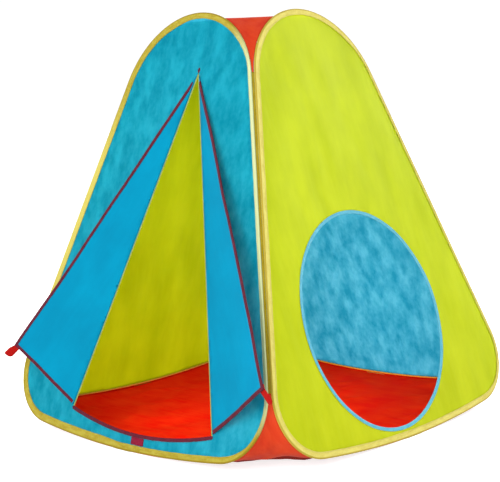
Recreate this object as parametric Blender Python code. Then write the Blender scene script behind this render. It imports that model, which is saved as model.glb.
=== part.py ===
"""A child's pop-up play tent: four leaning cloth walls, each edged by a sleeve that holds a wire loop.

The ground is z = 0, the middle of the tent is the origin, and the wall with the door faces -Y.
A wall's own frame has x to the right as seen from outside, y up the slope and z outwards.
"""

from math import asin, atan, atan2, cos, degrees, hypot, pi, radians, sin, sqrt, tan

import bmesh
import bpy
from mathutils import Matrix, Vector

# Walls: the half width is taken on the ground, from the middle of the tent to a wall's centre plane.
FOOT_HALF = 0.425
WALL_LEAN = radians(17)
FOOT_BOW_RADIUS = 2.20
FOOT_CORNER_RADIUS = 0.113
TOP_RADIUS = 0.195

# Cloth thicknesses, and the room left between pieces that touch.
CLOTH = 0.0008
SLEEVE_CLOTH = 0.0008
BINDING_CLOTH = 0.0005
TAB_CLOTH = 0.0010
FIT_GAP = 0.0003
SEAM_ROOM = 0.0006

# Wire loops, the ferrules that join their ends, and the sleeves round them.
WIRE_RADIUS = 0.00125
WIRE_END_GAP = 0.0010
FERRULE_BORE_RADIUS = 0.0015
FERRULE_RADIUS = 0.0020
FERRULE_LENGTH = 0.030
SLEEVE_WIDTH = 0.0115
HINGE_CLEARANCE = 0.0003

# Door: an upright triangle whose foot is a shallow arc, set a little to the right of the wall's middle.
# Its offset and its half width are shares of the tent's half width.
DOOR_OFFSET_SHARE = 0.082
DOOR_HALF_SHARE = 0.506
DOOR_TOP_GAP = 0.130
DOOR_CORNER_HEIGHT = 0.064
DOOR_FOOT_HEIGHT = 0.035
BINDING_WIDTH = 0.0072
FLAP_HINGE_GAP = 0.0008
FLAP_BINDING_ROOM = 0.0078
FLAP_SPLIT_GAP = 0.0014
FLAP_FOOT_GAP = 0.0012
FLAP_FREE_RISE = 0.0222
LEFT_FLAP_OPEN = radians(168)
RIGHT_FLAP_OPEN = radians(163)

# Hook-and-loop tabs.
TAB_WIDTH = 0.0135
TAB_LENGTH = 0.046
TAB_LAP = 0.010
TAB_CORNER_RADIUS = 0.004
SILL_TAB_WIDTH = 0.037
SILL_TAB_HEIGHT = 0.015

# Crawl hole in the right wall, set a little to the left of the wall's middle, in shares of the same half width.
HOLE_OFFSET_SHARE = -0.054
HOLE_WIDTH_SHARE = 1.006
HOLE_HEIGHT_SHARE = 1.068
HOLE_FOOT_HEIGHT = 0.0235

# Floor and roof.
FLOOR_RISE_BAND = 0.070
ROOF_SAG = 0.015

# Steps that the arcs are drawn in. The foot has an odd number, so that its middle run is straight.
FOOT_STEPS = 7
CORNER_STEPS = 7
TOP_STEPS = 12
FLOOR_CORNER_STEP = 1
ROOF_STEPS = 4
SILL_STEPS = 9
HOLE_STEPS = 40
ROUND_STEPS = 12
TAB_STEPS = 4

# What follows from the sizes above.
LEAN_SIN, LEAN_COS, LEAN_TAN = sin(WALL_LEAN), cos(WALL_LEAN), tan(WALL_LEAN)
SLANT = hypot(1, LEAN_SIN)
HALF_DIHEDRAL = atan(sqrt(1 + 2 * LEAN_TAN ** 2))
CAVITY_RADIUS = FERRULE_RADIUS + FIT_GAP
SLEEVE_RADIUS = CAVITY_RADIUS + SLEEVE_CLOTH
SLOT_HALF = CLOTH / 2 + FIT_GAP
LEG_HALF = SLOT_HALF + SLEEVE_CLOTH
BINDING_HALF = SLOT_HALF + BINDING_CLOTH
CLOTH_INSET = CAVITY_RADIUS + FIT_GAP
HINGE_REACH = SLEEVE_RADIUS + HINGE_CLEARANCE
HINGE_DEPTH = HINGE_REACH / sin(HALF_DIHEDRAL)
SIDE_INSET = HINGE_REACH + HINGE_REACH / tan(HALF_DIHEDRAL)
SEAM_OFFSET = SLEEVE_RADIUS + SEAM_ROOM
FLAP_STANDOFF = CLOTH + FIT_GAP
PATCH_LEVEL = CLOTH / 2 + FIT_GAP + TAB_CLOTH / 2
TAB_LEVEL = FLAP_STANDOFF + BINDING_HALF + FIT_GAP + TAB_CLOTH / 2

WALLS = ("front", "right", "back", "left")
FRONT, RIGHT, BACK, LEFT = range(len(WALLS))


def material(name, colour, roughness, metallic=0.0):
    """A plain Principled material; the colour is linear RGB."""
    finish = bpy.data.materials.new(name)
    finish.use_nodes = True
    shader = finish.node_tree.nodes["Principled BSDF"]
    shader.inputs["Base Color"].default_value = (*colour, 1)
    shader.inputs["Roughness"].default_value = roughness
    shader.inputs["Metallic"].default_value = metallic
    return finish


def place(name, data, finish, frame, parent):
    """Adds one piece in its world frame, carried by the empty that it moves with."""
    piece = bpy.data.objects.new(name, data)
    bpy.context.scene.collection.objects.link(piece)
    if finish:
        data.materials.append(finish)
    if parent:
        piece.parent = parent
        piece.matrix_parent_inverse = parent.matrix_basis.inverted()
    piece.matrix_basis = frame
    return piece


def pivot(name, point, axis, parent):
    """An empty on a joint's axis, with its own Z along it."""
    turn = axis.to_track_quat("Z", "Y").to_matrix().to_4x4()
    print(name, [round(value, 6) for value in point], [round(value, 6) for value in axis])
    return place(name, None, None, Matrix.Translation(point) @ turn, parent)


def turned(point, axis, angle):
    """The rotation about the line through a point."""
    return Matrix.Translation(point) @ Matrix.Rotation(angle, 4, axis) @ Matrix.Translation(-point)


def mesh_of(name, bm, smooth_angle=radians(40)):
    """Turns a bmesh into a mesh that faces outwards, with soft rounds and sharp edges."""
    bmesh.ops.recalc_face_normals(bm, faces=bm.faces)
    mesh = bpy.data.meshes.new(name)
    bm.to_mesh(mesh)
    bm.free()
    mesh.shade_smooth()
    mesh.set_sharp_from_angle(angle=smooth_angle)
    return mesh


def skin(name, rings, closed):
    """Joins each ring of points to the next, and caps the two ends of an open run."""
    bm = bmesh.new()
    loops = [[bm.verts.new(point) for point in ring] for ring in rings]
    followers = loops[1:] + loops[:1] if closed else loops[1:]
    for near, far in zip(loops, followers):
        for here in range(len(near)):
            after = (here + 1) % len(near)
            bm.faces.new((near[here], near[after], far[after], far[here]))
    if not closed:
        bm.faces.new(loops[0])
        bm.faces.new(reversed(loops[-1]))
    return mesh_of(name, bm)


def sweep(name, stations, section, closed):
    """Carries a section of (inward, outward from the wall) points along flat stations (x, y, inward x, y)."""
    rings = [
        [(x + depth * in_x, y + depth * in_y, height) for depth, height in section]
        for x, y, in_x, in_y in stations
    ]
    return skin(name, rings, closed)


def plate(name, outlines, thickness):
    """A flat sheet from its outline and its holes: a filled curve, extruded both ways."""
    sheet = bpy.data.curves.new(name, "CURVE")
    sheet.dimensions = "2D"
    sheet.fill_mode = "BOTH"
    sheet.extrude = thickness / 2
    for outline in outlines:
        spline = sheet.splines.new("POLY")
        spline.points.add(len(outline) - 1)
        spline.use_cyclic_u = True
        for knot, (x, y) in zip(spline.points, outline):
            knot.co = (x, y, 0, 1)
    return sheet


def arc(centre, radius, start, end, steps):
    """Points (x, y, angle) along an arc, both ends included."""
    turns = [start + (end - start) * step / steps for step in range(steps + 1)]
    return [(centre[0] + radius * cos(turn), centre[1] + radius * sin(turn), turn) for turn in turns]


def wall_frame(wall, lift=0):
    """A wall's own frame in the tent, moved outwards by a lift."""
    across = Vector((1, 0, 0))
    up = Vector((0, LEAN_SIN, LEAN_COS))
    out = Vector((0, -LEAN_COS, LEAN_SIN))
    start = Vector((0, -FOOT_HALF, SLEEVE_RADIUS)) + out * lift
    columns = Matrix((across, up, out)).transposed().to_4x4()
    return Matrix.Rotation(wall * pi / 2, 4, "Z") @ Matrix.Translation(start) @ columns


def door_frame(lift=0):
    """The front wall's frame, moved to the door's middle line."""
    return wall_frame(FRONT, lift) @ Matrix.Translation((DOOR_OFFSET, 0, 0))


def wall_path():
    """The line of a wall's wire, anticlockwise from the left end of the foot's bow: (x, y, outward angle)."""
    side_distance = FOOT_HALF / SLANT - SIDE_INSET
    side_angle = atan2(LEAN_SIN, 1)
    # The corner arc touches the side line and the foot's bow, which gives a quadratic for its height.
    reach = (side_distance - FOOT_CORNER_RADIUS) * SLANT
    inner = FOOT_BOW_RADIUS - FOOT_CORNER_RADIUS
    half_b = reach * LEAN_SIN + FOOT_BOW_RADIUS
    rest = reach ** 2 + FOOT_BOW_RADIUS ** 2 - inner ** 2
    corner_y = (half_b - sqrt(half_b ** 2 - SLANT ** 2 * rest)) / SLANT ** 2
    corner_x = reach - LEAN_SIN * corner_y
    bow_angle = asin(corner_x / inner)
    top_y = (side_distance - TOP_RADIUS) * SLANT / LEAN_SIN
    foot = arc((0, FOOT_BOW_RADIUS), FOOT_BOW_RADIUS, -pi / 2 - bow_angle, -pi / 2 + bow_angle, FOOT_STEPS)
    right = arc((corner_x, corner_y), FOOT_CORNER_RADIUS, -pi / 2 + bow_angle, side_angle, CORNER_STEPS)
    top = arc((0, top_y), TOP_RADIUS, side_angle, pi - side_angle, TOP_STEPS)
    left = arc((-corner_x, corner_y), FOOT_CORNER_RADIUS, pi - side_angle, 3 * pi / 2 - bow_angle, CORNER_STEPS)
    return foot, right, top, left


FOOT, RIGHT_CORNER, TOP, LEFT_CORNER = wall_path()
LOOP = FOOT + RIGHT_CORNER[1:] + TOP + LEFT_CORNER[:-1]
FOOT_MIDDLE = FOOT[FOOT_STEPS // 2][1]
WALL_TOP = max(y for _, y, _ in TOP)
DOOR_OFFSET = FOOT_HALF * DOOR_OFFSET_SHARE
DOOR_HALF = FOOT_HALF * DOOR_HALF_SHARE
DOOR_TOP = WALL_TOP - DOOR_TOP_GAP
HOLE_OFFSET = FOOT_HALF * HOLE_OFFSET_SHARE
HOLE_WIDTH = FOOT_HALF * HOLE_WIDTH_SHARE
HOLE_HEIGHT = FOOT_HALF * HOLE_HEIGHT_SHARE
HOLE_CENTRE_HEIGHT = HOLE_FOOT_HEIGHT + HOLE_HEIGHT / 2


def corner_line(wall):
    """The hinge line between a wall and the next one anticlockwise: a point low on it and its direction up."""
    inwards = Vector((-1, 1, 0)).normalized()
    up = Vector((-LEAN_SIN, LEAN_SIN, LEAN_COS)).normalized()
    across = inwards.cross(Vector((0, 0, 1)))
    towards_tent = across.cross(up)
    if towards_tent.dot(inwards) < 0:
        towards_tent = -towards_tent
    foot = Vector((FOOT_HALF, -FOOT_HALF, SLEEVE_RADIUS)) + towards_tent * HINGE_DEPTH
    turn = Matrix.Rotation(wall * pi / 2, 3, "Z")
    return turn @ foot, turn @ up


def sleeve_section():
    """A folded sleeve: round where the wire lies, open as a slot towards the wall's cloth."""
    mouth = atan2(SLOT_HALF, CAVITY_RADIUS)
    shoulder = atan2(LEG_HALF, SLEEVE_RADIUS)
    outer = arc((0, 0), SLEEVE_RADIUS, pi / 2 - shoulder, 3 * pi / 2 + shoulder, 8)
    inner = arc((0, 0), CAVITY_RADIUS, 2 * pi - mouth, mouth, 6)
    tip = [(SLEEVE_WIDTH, -LEG_HALF), (SLEEVE_WIDTH, -SLOT_HALF)]
    end = [(SLEEVE_WIDTH, SLOT_HALF), (SLEEVE_WIDTH, LEG_HALF)]
    return [point[:2] for point in outer] + tip + [point[:2] for point in inner] + end


def wall_sleeve(wall, finish, parent):
    stations = [(x, y, -cos(turn), -sin(turn)) for x, y, turn in LOOP]
    name = f"{WALLS[wall]}_sleeve"
    place(name, sweep(name, stations, sleeve_section(), True), finish, wall_frame(wall), parent)


def wall_cloth(wall, holes, finish, parent):
    outline = [(x - CLOTH_INSET * cos(turn), y - CLOTH_INSET * sin(turn)) for x, y, turn in LOOP]
    name = f"{WALLS[wall]}_wall_cloth"
    place(name, plate(name, [outline, *holes], CLOTH), finish, wall_frame(wall), parent)


def wire_loop(wall, finish, parent):
    """A wire bent round the wall, whose ends meet in the ferrule at the middle of the foot."""
    half = FOOT_STEPS // 2 + 1
    run = [point[:2] for point in LOOP[half:] + LOOP[:half]]
    run = [(WIRE_END_GAP / 2, FOOT_MIDDLE), *run, (-WIRE_END_GAP / 2, FOOT_MIDDLE)]
    name = f"{WALLS[wall]}_wire_loop"
    wire = bpy.data.curves.new(name, "CURVE")
    wire.dimensions = "3D"
    wire.bevel_depth = WIRE_RADIUS
    wire.bevel_resolution = 1
    wire.use_fill_caps = True
    spline = wire.splines.new("POLY")
    spline.points.add(len(run) - 1)
    for knot, (x, y) in zip(spline.points, run):
        knot.co = (x, y, 0, 1)
    place(name, wire, finish, wall_frame(wall), parent)


def ferrule(wall, finish, parent):
    """A short tube pressed over the two wire ends."""
    rounds = [2 * pi * step / ROUND_STEPS for step in range(ROUND_STEPS)]
    ends = (-FERRULE_LENGTH / 2, FERRULE_LENGTH / 2)
    bands = [(ends[0], FERRULE_RADIUS), (ends[1], FERRULE_RADIUS)]
    bands += [(ends[1], FERRULE_BORE_RADIUS), (ends[0], FERRULE_BORE_RADIUS)]
    rings = [
        [(along, FOOT_MIDDLE + radius * sin(turn), radius * cos(turn)) for turn in rounds]
        for along, radius in bands
    ]
    name = f"{WALLS[wall]}_ferrule"
    place(name, skin(name, rings, True), finish, wall_frame(wall), parent)


def sill_circle():
    """Centre height and radius of the arc at the door's foot, and the angle to its corners."""
    rise = DOOR_CORNER_HEIGHT - DOOR_FOOT_HEIGHT
    radius = (DOOR_HALF ** 2 + rise ** 2) / (2 * rise)
    return DOOR_FOOT_HEIGHT + radius, radius, asin(DOOR_HALF / radius)


def door_hole():
    height, radius, reach = sill_circle()
    sill = arc((0, height), radius, -pi / 2 - reach, -pi / 2 + reach, SILL_STEPS)
    return [(DOOR_OFFSET + x, y) for x, y, _ in sill] + [(DOOR_OFFSET, DOOR_TOP)]


def crawl_hole():
    turns = [2 * pi * step / HOLE_STEPS for step in range(HOLE_STEPS)]
    across, up = HOLE_WIDTH / 2, HOLE_HEIGHT / 2
    return [(HOLE_OFFSET + across * cos(turn), HOLE_CENTRE_HEIGHT + up * sin(turn)) for turn in turns]


def binding_section():
    """A folded strip that grips a cloth edge: depth 0 is the edge, and the fold stands just proud of it."""
    fold = -FIT_GAP - BINDING_CLOTH
    outside = [(BINDING_WIDTH, BINDING_HALF), (fold, BINDING_HALF), (fold, -BINDING_HALF)]
    inside = [(BINDING_WIDTH, -BINDING_HALF), (BINDING_WIDTH, -SLOT_HALF), (-FIT_GAP, -SLOT_HALF)]
    return outside + inside + [(-FIT_GAP, SLOT_HALF), (BINDING_WIDTH, SLOT_HALF)]


def hole_binding(finish, parent):
    stations = []
    for x, y in crawl_hole():
        away = Vector(((x - HOLE_OFFSET) / HOLE_WIDTH ** 2, (y - HOLE_CENTRE_HEIGHT) / HOLE_HEIGHT ** 2))
        stations.append((x, y, *away.normalized()))
    name = "crawl_hole_binding"
    place(name, sweep(name, stations, binding_section(), True), finish, wall_frame(RIGHT), parent)


def sill_binding(finish, parent):
    """The strip along the door's foot, ending clear of the flaps' hinge lines."""
    height, radius, reach = sill_circle()
    trim = asin(BINDING_WIDTH / radius)
    sill = arc((0, height), radius, -pi / 2 - reach + trim, -pi / 2 + reach - trim, SILL_STEPS)
    stations = [(x, y, cos(turn), sin(turn)) for x, y, turn in sill]
    name = "door_sill_binding"
    place(name, sweep(name, stations, binding_section(), False), finish, door_frame(), parent)


def rounded_tab(left, right, low, high, corner):
    """An upright strip with its lower corners rounded."""
    right_end = arc((right - corner, low + corner), corner, -pi / 2, 0, TAB_STEPS)
    left_end = arc((left + corner, low + corner), corner, pi, 3 * pi / 2, TAB_STEPS)
    return [point[:2] for point in left_end + right_end] + [(right, high), (left, high)]


def sill_tab(finish, parent):
    """The loop-tape patch below the sill, which both flap tabs close onto."""
    high = DOOR_FOOT_HEIGHT - BINDING_WIDTH - FIT_GAP
    half = SILL_TAB_WIDTH / 2
    outline = rounded_tab(-half, half, high - SILL_TAB_HEIGHT, high, TAB_CORNER_RADIUS / 4)
    patch = plate("door_sill_tab", [outline], TAB_CLOTH)
    place("door_sill_tab", patch, finish, door_frame(PATCH_LEVEL), parent)


def flap_lines(side):
    """A door flap as it lies closed: side is 1 for the right flap and -1 for the left one.

    Gives its hinge line's foot and direction, and its cloth's outer, free and top corners.
    """
    height, radius, _ = sill_circle()
    hinge_foot = Vector((side * DOOR_HALF, DOOR_CORNER_HEIGHT))
    hinge_top = Vector((0, DOOR_TOP))
    upwards = (hinge_top - hinge_foot).normalized()
    inwards = Vector((upwards.y, -upwards.x)) * -side
    split = FLAP_SPLIT_GAP + FIT_GAP + BINDING_CLOTH
    bottom = radius - FLAP_FOOT_GAP - 2 * (FIT_GAP + BINDING_CLOTH)
    # The hinge edge runs a little inside the hinge line, and ends a little above the sill.
    outer = hinge_foot + inwards * FLAP_HINGE_GAP
    along = outer - Vector((0, height))
    drop = along.dot(upwards)
    outer -= upwards * (drop + sqrt(drop ** 2 - along.length_squared + bottom ** 2))
    free = Vector((side * split, DOOR_FOOT_HEIGHT + FLAP_FREE_RISE))
    tip = outer + upwards * ((abs(outer.x) - split) / abs(upwards.x))
    return hinge_foot, upwards, outer, free, tip


def flap_frame(side, angle):
    """A flap's world frame when it is turned open by an angle, with its hinge point and outward-opening axis."""
    hinge_foot, upwards, *_ = flap_lines(side)
    point = Vector((*hinge_foot, 0))
    axis = Vector((*upwards, 0)) * side
    return door_frame(FLAP_STANDOFF), point, axis, turned(point, axis, angle)


def door_flap(side, angle, word, cloth, trim, tape, hinge):
    """One half of the door: its cloth, the strip round its two free edges and the tab at its free corner."""
    _, _, outer, free, tip = flap_lines(side)
    base, _, _, opened = flap_frame(side, angle)
    outline = [tuple(outer), tuple(free), tuple(tip)]
    name = f"{word}_door_flap"
    place(name, plate(name, [outline], CLOTH), cloth, base @ opened, hinge)

    # The strip stays clear of the hinge line, so that it doesn't touch the wall when the flap is wide open.
    slope = (tip.y - outer.y) / (abs(outer.x) - abs(free.x))
    strip_top = tip.y - (BINDING_WIDTH + FLAP_BINDING_ROOM) * slope
    foot_run = (outer - free).normalized()
    foot_in = Vector((-foot_run.y, foot_run.x)) * side
    foot_end = outer - foot_run * FLAP_BINDING_ROOM
    mitre = (Vector((side, 0)) + foot_in) / (1 + side * foot_in.x)
    stations = [(free.x, strip_top, side, 0), (*free, *mitre), (*foot_end, *foot_in)]
    name = f"{word}_flap_binding"
    place(name, sweep(name, stations, binding_section(), False), trim, base @ opened, hinge)

    near = side * FLAP_SPLIT_GAP
    far = near + side * TAB_WIDTH
    high = free.y + TAB_LAP
    tab = rounded_tab(min(near, far), max(near, far), high - TAB_LENGTH, high, TAB_CORNER_RADIUS)
    name = f"{word}_flap_tab"
    lift = Matrix.Translation((0, 0, TAB_LEVEL - FLAP_STANDOFF))
    place(name, plate(name, [tab], TAB_CLOTH), tape, base @ opened @ lift, hinge)


def across_corner(wall, station, behind=False):
    """The ends of a level line across a corner, from a station of the wall's right side to the next wall's.

    They stand clear of both sleeves, or behind both walls.
    """
    x, y, turn = station
    frame = wall_frame(wall)
    near = frame @ Vector((x, y, 0))
    far = wall_frame(wall + 1) @ Vector((-x, y, 0))
    chord = (far - near).normalized()
    tangent = frame.to_3x3() @ Vector((-sin(turn), cos(turn), 0))
    out = frame.to_3x3() @ Vector((0, 0, 1))
    clear = SEAM_OFFSET / (abs(chord.dot(out)) if behind else sqrt(1 - chord.dot(tangent) ** 2))
    return near + chord * clear, far - chord * clear


def cloth_sheet(name, points, faces, finish, parent):
    """A sheet of cloth from its middle surface, thickened evenly."""
    bm = bmesh.new()
    knots = [bm.verts.new(point) for point in points]
    for face in faces:
        bm.faces.new([knots[index] for index in face])
    sheet = place(name, mesh_of(name, bm), finish, Matrix(), parent)
    thicken = sheet.modifiers.new("thickness", "SOLIDIFY")
    thicken.thickness = CLOTH
    thicken.offset = 0
    thicken.use_even_offset = True


def corner_strips(points, faces, stations, behind=False):
    """Adds the ruled cloth across each corner, and gives each corner's first row and last row."""
    ends = []
    for wall in range(len(WALLS)):
        rows = []
        for station in stations:
            rows.append((len(points), len(points) + 1))
            points.extend(across_corner(wall, station, behind and station == stations[-1]))
        for low, high in zip(rows, rows[1:]):
            faces.append((low[0], low[1], high[1], high[0]))
        ends.append((rows[0], rows[-1]))
    return ends


def floor_cloth(finish, parent):
    """The groundsheet: flat inside, rising to the walls' bowed feet, and turned up into the four corners."""
    points, faces = [], []
    corners = corner_strips(points, faces, RIGHT_CORNER[FLOOR_CORNER_STEP:])
    steepest = asin((SLEEVE_RADIUS + FOOT_MIDDLE * LEAN_COS - CLOTH / 2) / SEAM_OFFSET)
    rim = []
    for wall in range(len(WALLS)):
        rim.append(corners[wall - 1][0][1])
        turn = Matrix.Rotation(wall * pi / 2, 3, "Z")
        for step, (x, y, _) in enumerate(FOOT):
            dip = steepest * min(1, (min(step, FOOT_STEPS - step) + 1) / 3)
            hang = turn @ Vector((0, cos(dip), -sin(dip))) * SEAM_OFFSET
            rim.append(len(points))
            points.append(wall_frame(wall) @ Vector((x, y, 0)) + hang)
        rim.append(corners[wall][0][0])
    flat = []
    for index in rim:
        inwards = 1 - FLOOR_RISE_BAND / FOOT_HALF
        flat.append(len(points))
        points.append(Vector((points[index].x * inwards, points[index].y * inwards, CLOTH / 2)))
    for here in range(len(rim)):
        after = (here + 1) % len(rim)
        faces.append((rim[here], rim[after], flat[after], flat[here]))
    faces.append(tuple(flat))
    cloth_sheet("floor_cloth", points, faces, finish, parent)


def roof_cloth(finish, parent):
    """The roof: ruled cloth between the walls' round tops, and a level square across them that sags."""
    points, faces = [], []
    corners = corner_strips(points, faces, TOP[:ROOF_STEPS + 1], True)
    rim = []
    for wall in range(len(WALLS)):
        rim += [corners[wall - 1][1][1], corners[wall][1][0]]
    middle = len(points) + len(rim)
    ring = []
    for index in rim:
        ring.append(len(points))
        points.append(points[index] * 0.5 + Vector((0, 0, points[index].z * 0.5 - ROOF_SAG * 0.75)))
    points.append(Vector((0, 0, points[rim[0]].z - ROOF_SAG)))
    for here in range(len(rim)):
        after = (here + 1) % len(rim)
        faces.append((rim[here], rim[after], ring[after], ring[here]))
        faces.append((ring[here], ring[after], middle))
    cloth_sheet("roof_cloth", points, faces, finish, parent)


def corner_seam(wall, name, finish, parent):
    """The tape that joins two walls along their straight sides, between the floor's corner and the roof."""
    low, high = RIGHT_CORNER[-1], TOP[0]
    length = hypot(high[0] - low[0], high[1] - low[1])
    points = []
    for along in (FIT_GAP, length - FIT_GAP):
        share = along / length
        x, y = (start + (end - start) * share for start, end in zip(low[:2], high[:2]))
        points.extend(across_corner(wall, (x, y, low[2])))
    cloth_sheet(name, points, [(0, 1, 3, 2)], finish, parent)


def build():
    for thing in list(bpy.data.objects):
        bpy.data.objects.remove(thing)

    blue = material("blue_cloth", (0.012, 0.38, 0.55), 0.85)
    lime = material("lime_cloth", (0.60, 0.76, 0.035), 0.85)
    red = material("red_cloth", (0.70, 0.025, 0.010), 0.8)
    yellow = material("yellow_sleeve", (0.86, 0.70, 0.12), 0.75)
    dark_red = material("red_binding", (0.28, 0.012, 0.020), 0.8)
    tape = material("red_tape", (0.62, 0.010, 0.020), 0.8)
    pale_blue = material("pale_blue_binding", (0.16, 0.56, 0.70), 0.8)
    steel = material("spring_steel", (0.45, 0.45, 0.46), 0.35, 1.0)

    # The back wall stands still. The left wall swings on it, the front wall on the left one, the right on the back.
    base = place("tent_base", None, None, Matrix(), None)
    left_hinge = pivot("left_wall_hinge", *corner_line(BACK), base)
    right_hinge = pivot("right_wall_hinge", *corner_line(RIGHT), base)
    front_hinge = pivot("front_wall_hinge", *corner_line(LEFT), left_hinge)
    carriers = {FRONT: front_hinge, RIGHT: right_hinge, BACK: base, LEFT: left_hinge}
    holes = {FRONT: [door_hole()], RIGHT: [crawl_hole()], BACK: [], LEFT: []}
    cloths = {FRONT: blue, RIGHT: lime, BACK: blue, LEFT: lime}
    for wall in range(len(WALLS)):
        wall_cloth(wall, holes[wall], cloths[wall], carriers[wall])
        wall_sleeve(wall, yellow, carriers[wall])
        wire_loop(wall, steel, carriers[wall])
        ferrule(wall, steel, carriers[wall])

    hole_binding(pale_blue, right_hinge)
    sill_binding(dark_red, front_hinge)
    sill_tab(tape, front_hinge)
    for side, word, angle in ((-1, "left", LEFT_FLAP_OPEN), (1, "right", RIGHT_FLAP_OPEN)):
        frame, point, axis, _ = flap_frame(side, angle)
        hinge = pivot(f"{word}_flap_hinge", frame @ point, (frame.to_3x3() @ axis).normalized(), front_hinge)
        door_flap(side, angle, word, blue, dark_red, tape, hinge)

    floor_cloth(red, base)
    roof_cloth(red, base)
    corner_seam(FRONT, "front_right_seam_tape", yellow, front_hinge)
    corner_seam(RIGHT, "back_right_seam_tape", yellow, base)
    corner_seam(BACK, "back_left_seam_tape", yellow, base)
    corner_seam(LEFT, "front_left_seam_tape", yellow, left_hinge)
    height = SLEEVE_RADIUS + WALL_TOP * LEAN_COS + SLEEVE_RADIUS
    print("height", round(height, 4), "width", round(2 * (FOOT_HALF + SLEEVE_RADIUS), 4))
    print("corner between walls", round(degrees(2 * HALF_DIHEDRAL), 2), "degrees")


build()
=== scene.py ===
from math import asin, atan, atan2, ceil, cos, exp, hypot, pi, radians, sin, sqrt, tan

import bmesh
import bpy
import numpy as np
from mathutils import Matrix, Vector, geometry, kdtree, noise


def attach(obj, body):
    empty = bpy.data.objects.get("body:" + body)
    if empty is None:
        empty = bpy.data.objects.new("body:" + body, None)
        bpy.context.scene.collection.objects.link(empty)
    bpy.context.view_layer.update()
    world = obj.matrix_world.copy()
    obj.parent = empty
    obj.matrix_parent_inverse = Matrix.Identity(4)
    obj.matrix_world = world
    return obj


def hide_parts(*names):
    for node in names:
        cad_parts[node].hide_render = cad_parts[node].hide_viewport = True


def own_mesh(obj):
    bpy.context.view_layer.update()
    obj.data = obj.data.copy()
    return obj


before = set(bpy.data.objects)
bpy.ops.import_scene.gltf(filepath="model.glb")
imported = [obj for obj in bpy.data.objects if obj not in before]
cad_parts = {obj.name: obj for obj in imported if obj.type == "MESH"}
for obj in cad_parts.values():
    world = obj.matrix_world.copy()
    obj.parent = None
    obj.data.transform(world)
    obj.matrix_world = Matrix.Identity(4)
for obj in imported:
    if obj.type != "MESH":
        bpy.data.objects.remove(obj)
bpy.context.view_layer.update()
print("frame loaded")

# The tent's cut, as the frame has it, in metres, with its walls' lean in radians.
# A wall is drawn flat: x to the right as seen from outside, y up the slope, and its height out of the cloth.
tent = {
    "footHalf": 0.425,
    "lean": radians(17),
    "footBowRadius": 2.20,
    "footCornerRadius": 0.113,
    "topRadius": 0.195,
    "beadRadius": 0.0031,
    "hingeReach": 0.0034,
    "clothInset": 0.0026,
    "seamOffset": 0.0028,
}
wallNames = ["front", "right", "back", "left"]
footHalf, bowRadius, cornerRadius, topRadius = (
    tent[key] for key in ("footHalf", "footBowRadius", "footCornerRadius", "topRadius"))
leanSin, leanCos, leanTan = sin(tent["lean"]), cos(tent["lean"]), tan(tent["lean"])
slant = hypot(1, leanSin)
halfDihedral = atan(sqrt(1 + 2 * leanTan ** 2))
sideDistance = footHalf / slant - tent["hingeReach"] * (1 + 1 / tan(halfDihedral))
sideAngle = atan2(leanSin, 1)

# where the arcs of a wall's edge have their centres
cornerReach = (sideDistance - cornerRadius) * slant
innerBow = bowRadius - cornerRadius
halfTerm = cornerReach * leanSin + bowRadius
lastTerm = cornerReach ** 2 + bowRadius ** 2 - innerBow ** 2
cornerY = (halfTerm - sqrt(halfTerm ** 2 - slant ** 2 * lastTerm)) / slant ** 2
cornerX = cornerReach - leanSin * cornerY
bowAngle = asin(cornerX / innerBow)
topY = (sideDistance - topRadius) * slant / leanSin
wallTop = topY + topRadius

door = {
    "offset": 0.03485,
    "half": 0.21505,
    "top": wallTop - 0.130,
    "cornerHeight": 0.064,
    "footHeight": 0.035,
    "freeRise": 0.0222,
    "hingeGap": 0.0008,
    "splitGap": 0.0022,
    "footGap": 0.0028,
    "standOff": 0.0011,
    "leftOpen": radians(168),
    "rightOpen": radians(163),
}
crawlHole = {"x": -0.02295, "y": 0.25045, "across": 0.42755, "up": 0.4539}


def softStep(value):
    value = min(1, max(0, value))
    return value * value * (3 - 2 * value)


def noiseAt(x, y, z):
    # smooth noise from -1 to 1, where z picks the pattern
    return noise.noise(Vector((x, y, z)))


def slackAt(x, y, size, seed):
    # the same over a flat cloth, in swells of a size
    return noise.noise(Vector((x, y, 0)) / size + Vector((0, 0, seed)))


def arc(centre, radius, start, end, spacing):
    # stations (x, y, outward angle) along an arc, both ends included
    steps = max(2, ceil(abs(end - start) * radius / spacing))
    turns = [start + (end - start) * step / steps for step in range(steps + 1)]
    return [(centre[0] + radius * cos(turn), centre[1] + radius * sin(turn), turn) for turn in turns]


def run(start, end, spacing):
    # stations along a straight, both ends included, that keep the first one's angle
    steps = max(1, ceil(hypot(end[0] - start[0], end[1] - start[1]) / spacing))
    wide, tall = end[0] - start[0], end[1] - start[1]
    shares = [step / steps for step in range(steps + 1)]
    return [(start[0] + wide * share, start[1] + tall * share, start[2]) for share in shares]


def footLine(spacing):
    return arc((0, bowRadius), bowRadius, -pi / 2 - bowAngle, -pi / 2 + bowAngle, spacing)


def cornerLine(spacing):
    return arc((cornerX, cornerY), cornerRadius, -pi / 2 + bowAngle, sideAngle, spacing)


def topLine(spacing):
    return arc((0, topY), topRadius, sideAngle, pi - sideAngle, spacing)


def wireLine(spacing):
    # once round a wall, anticlockwise from the left end of its foot
    corner = cornerLine(spacing)
    top = topLine(spacing)
    leftCorner = [(-x, y, pi - turn) for x, y, turn in reversed(corner)]
    line = footLine(spacing) + corner[1:] + run(corner[-1], top[0], spacing)[1:-1] + top
    return line + run(top[-1], leftCorner[0], spacing)[1:-1] + leftCorner[:-1]


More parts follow.
